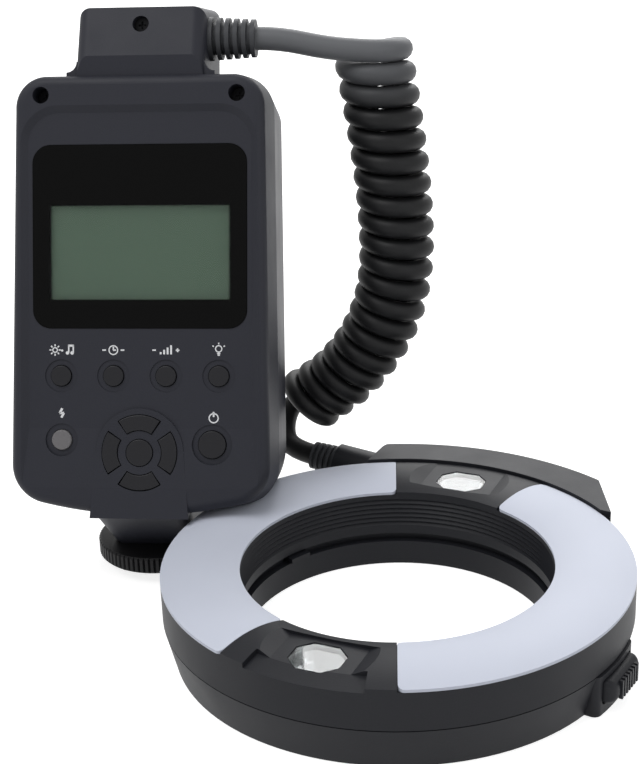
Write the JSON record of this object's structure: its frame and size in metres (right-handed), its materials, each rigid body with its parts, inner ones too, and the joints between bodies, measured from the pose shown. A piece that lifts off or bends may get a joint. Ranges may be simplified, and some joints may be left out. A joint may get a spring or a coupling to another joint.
{
  "type": "macro ring flash",
  "caption": "Macro ring flash with a tilted shoe-mount controller, a curly cord and a ring head with arc diffusers, focusing lamps and side release levers.",
  "frame": {"origin": "the lens bore's axis on the ring head's back face, which rests on the ground with the controller's foot", "axes": "+Z along the lens bore, from the camera to the subject, and up at rest; +Y away from the viewer of the control panel; +X to the right of the panel"},
  "size_m": [0.1566, 0.1513, 0.1418],
  "materials": {
    "case_plastic": "fine matt black",
    "ring_plastic": "fine matt black",
    "lever_plastic": "matt black, ribbed",
    "key_plastic": "satin black",
    "pilot_lens": "clear moulded lens",
    "window_glass": "gloss, smoked",
    "display": "grey-green liquid crystal",
    "wheel_plastic": "knurled black",
    "shoe_metal": "black, hard",
    "pin_metal": "bright plated",
    "steel": "bright",
    "screw_steel": "black oxide",
    "cord_rubber": "matt black",
    "relief_rubber": "matt black",
    "diffuser": "frosted, translucent white",
    "tube_glass": "clear glass",
    "lamp_window": "clear moulded window",
    "reflector": "bright faceted",
    "board": "green laminate",
    "can": "sleeved",
    "cell": "plain jacket",
    "tray": "black"
  },
  "bodies": {
    "flash": {"panel_cover": "case_plastic", "back_cover": "case_plastic", "foot_neck": "case_plastic", "ring_front_shell": "ring_plastic", "ring_rear_shell": "ring_plastic", "hood_cover": "ring_plastic", "window_glass": "window_glass", "display_module": "display", "shoe_plate": "shoe_metal", "door_hinge_pin": "steel", "lever_springs": "steel", "battery_contacts": "steel", "case_screws": "screw_steel", "ring_screws": "screw_steel", "cord_upper_lead": "cord_rubber", "cord_coil": "cord_rubber", "cord_lower_lead": "cord_rubber", "controller_strain_relief": "relief_rubber", "ring_strain_relief": "relief_rubber", "keypad_mat": "relief_rubber", "tube_end_caps": "relief_rubber", "diffuser_left": "diffuser", "diffuser_right": "diffuser", "flash_tube_left": "tube_glass", "flash_tube_right": "tube_glass", "focusing_lamp_upper": "tube_glass", "focusing_lamp_lower": "tube_glass", "lamp_window_upper": "lamp_window", "lamp_window_lower": "lamp_window", "tube_reflector_left": "reflector", "tube_reflector_right": "reflector", "lamp_reflector_upper": "reflector", "lamp_reflector_lower": "reflector", "main_board": "board", "ring_board": "board", "main_capacitor": "can", "transformer": "can", "aa_cells": "cell", "battery_tray": "tray"},
    "button_light_body": {"button_light": "key_plastic"},
    "button_mode_body": {"button_mode": "key_plastic"},
    "button_ratio_body": {"button_ratio": "key_plastic"},
    "button_lamp_body": {"button_lamp": "key_plastic"},
    "button_pilot_body": {"button_pilot": "pilot_lens"},
    "button_power_body": {"button_power": "key_plastic"},
    "button_set_body": {"button_set": "key_plastic"},
    "button_up_body": {"button_up": "key_plastic"},
    "button_left_body": {"button_left": "key_plastic"},
    "button_down_body": {"button_down": "key_plastic"},
    "button_right_body": {"button_right": "key_plastic"},
    "battery_door_body": {"battery_door": "case_plastic"},
    "locking_ring_body": {"locking_ring": "wheel_plastic"},
    "locking_pin_body": {"locking_pin": "steel"},
    "contact_pin_centre_body": {"contact_pin_centre": "pin_metal"},
    "contact_pin_1_body": {"contact_pin_1": "pin_metal"},
    "contact_pin_2_body": {"contact_pin_2": "pin_metal"},
    "contact_pin_3_body": {"contact_pin_3": "pin_metal"},
    "contact_pin_4_body": {"contact_pin_4": "pin_metal"},
    "release_lever_right_body": {"release_lever_right": "lever_plastic"},
    "release_lever_left_body": {"release_lever_left": "lever_plastic"}
  },
  "joints": [
    {"name": "button_light_press", "type": "slide", "parent": "flash", "child": "button_light_body", "axis": [0, 0.9397, -0.342], "range_m": [0, 0.0005], "stiffness_N_per_m": 1500},
    {"name": "button_mode_press", "type": "slide", "parent": "flash", "child": "button_mode_body", "axis": [0, 0.9397, -0.342], "range_m": [0, 0.0005], "stiffness_N_per_m": 1500},
    {"name": "button_ratio_press", "type": "slide", "parent": "flash", "child": "button_ratio_body", "axis": [0, 0.9397, -0.342], "range_m": [0, 0.0005], "stiffness_N_per_m": 1500},
    {"name": "button_lamp_press", "type": "slide", "parent": "flash", "child": "button_lamp_body", "axis": [0, 0.9397, -0.342], "range_m": [0, 0.0005], "stiffness_N_per_m": 1500},
    {"name": "button_pilot_press", "type": "slide", "parent": "flash", "child": "button_pilot_body", "axis": [0, 0.9397, -0.342], "range_m": [0, 0.0005], "stiffness_N_per_m": 1500},
    {"name": "button_power_press", "type": "slide", "parent": "flash", "child": "button_power_body", "axis": [0, 0.9397, -0.342], "range_m": [0, 0.0005], "stiffness_N_per_m": 1500},
    {"name": "button_set_press", "type": "slide", "parent": "flash", "child": "button_set_body", "axis": [0, 0.9397, -0.342], "range_m": [0, 0.0005], "stiffness_N_per_m": 1500},
    {"name": "button_up_press", "type": "slide", "parent": "flash", "child": "button_up_body", "axis": [0, 0.9397, -0.342], "range_m": [0, 0.0005], "stiffness_N_per_m": 1500},
    {"name": "button_left_press", "type": "slide", "parent": "flash", "child": "button_left_body", "axis": [0, 0.9397, -0.342], "range_m": [0, 0.0005], "stiffness_N_per_m": 1500},
    {"name": "button_down_press", "type": "slide", "parent": "flash", "child": "button_down_body", "axis": [0, 0.9397, -0.342], "range_m": [0, 0.0005], "stiffness_N_per_m": 1500},
    {"name": "button_right_press", "type": "slide", "parent": "flash", "child": "button_right_body", "axis": [0, 0.9397, -0.342], "range_m": [0, 0.0005], "stiffness_N_per_m": 1500},
    {"name": "battery_door_hinge", "type": "hinge", "parent": "flash", "child": "battery_door_body", "pos_m": [-0.0971, 0.06466, 0.05919], "axis": [0, -0.342, -0.9397], "range_deg": [0, 100]},
    {"name": "locking_ring_turn", "type": "hinge", "parent": "flash", "child": "locking_ring_body", "pos_m": [-0.0655, 0.0395, 0.005], "axis": [0, 0, 1], "range_deg": [0, 180]},
    {"name": "locking_pin_drop", "type": "slide", "parent": "flash", "child": "locking_pin_body", "axis": [0, 0, -1], "range_m": [0, 0.0015]},
    {"name": "contact_pin_centre_press", "type": "slide", "parent": "flash", "child": "contact_pin_centre_body", "axis": [0, 0, 1], "range_m": [0, 0.0004], "stiffness_N_per_m": 1000},
    {"name": "contact_pin_1_press", "type": "slide", "parent": "flash", "child": "contact_pin_1_body", "axis": [0, 0, 1], "range_m": [0, 0.0004], "stiffness_N_per_m": 1000},
    {"name": "contact_pin_2_press", "type": "slide", "parent": "flash", "child": "contact_pin_2_body", "axis": [0, 0, 1], "range_m": [0, 0.0004], "stiffness_N_per_m": 1000},
    {"name": "contact_pin_3_press", "type": "slide", "parent": "flash", "child": "contact_pin_3_body", "axis": [0, 0, 1], "range_m": [0, 0.0004], "stiffness_N_per_m": 1000},
    {"name": "contact_pin_4_press", "type": "slide", "parent": "flash", "child": "contact_pin_4_body", "axis": [0, 0, 1], "range_m": [0, 0.0004], "stiffness_N_per_m": 1000},
    {"name": "release_lever_right_press", "type": "slide", "parent": "flash", "child": "release_lever_right_body", "axis": [-0.891, 0.454, 0], "range_m": [0, 0.0016], "stiffness_N_per_m": 1500},
    {"name": "release_lever_left_press", "type": "slide", "parent": "flash", "child": "release_lever_left_body", "axis": [0.891, -0.454, 0], "range_m": [0, 0.0016], "stiffness_N_per_m": 1500}
  ],
  "couplings": [
    {"joint": "locking_pin_drop", "follows": "locking_ring_turn", "m_per_rad": 0.00047746}
  ]
}
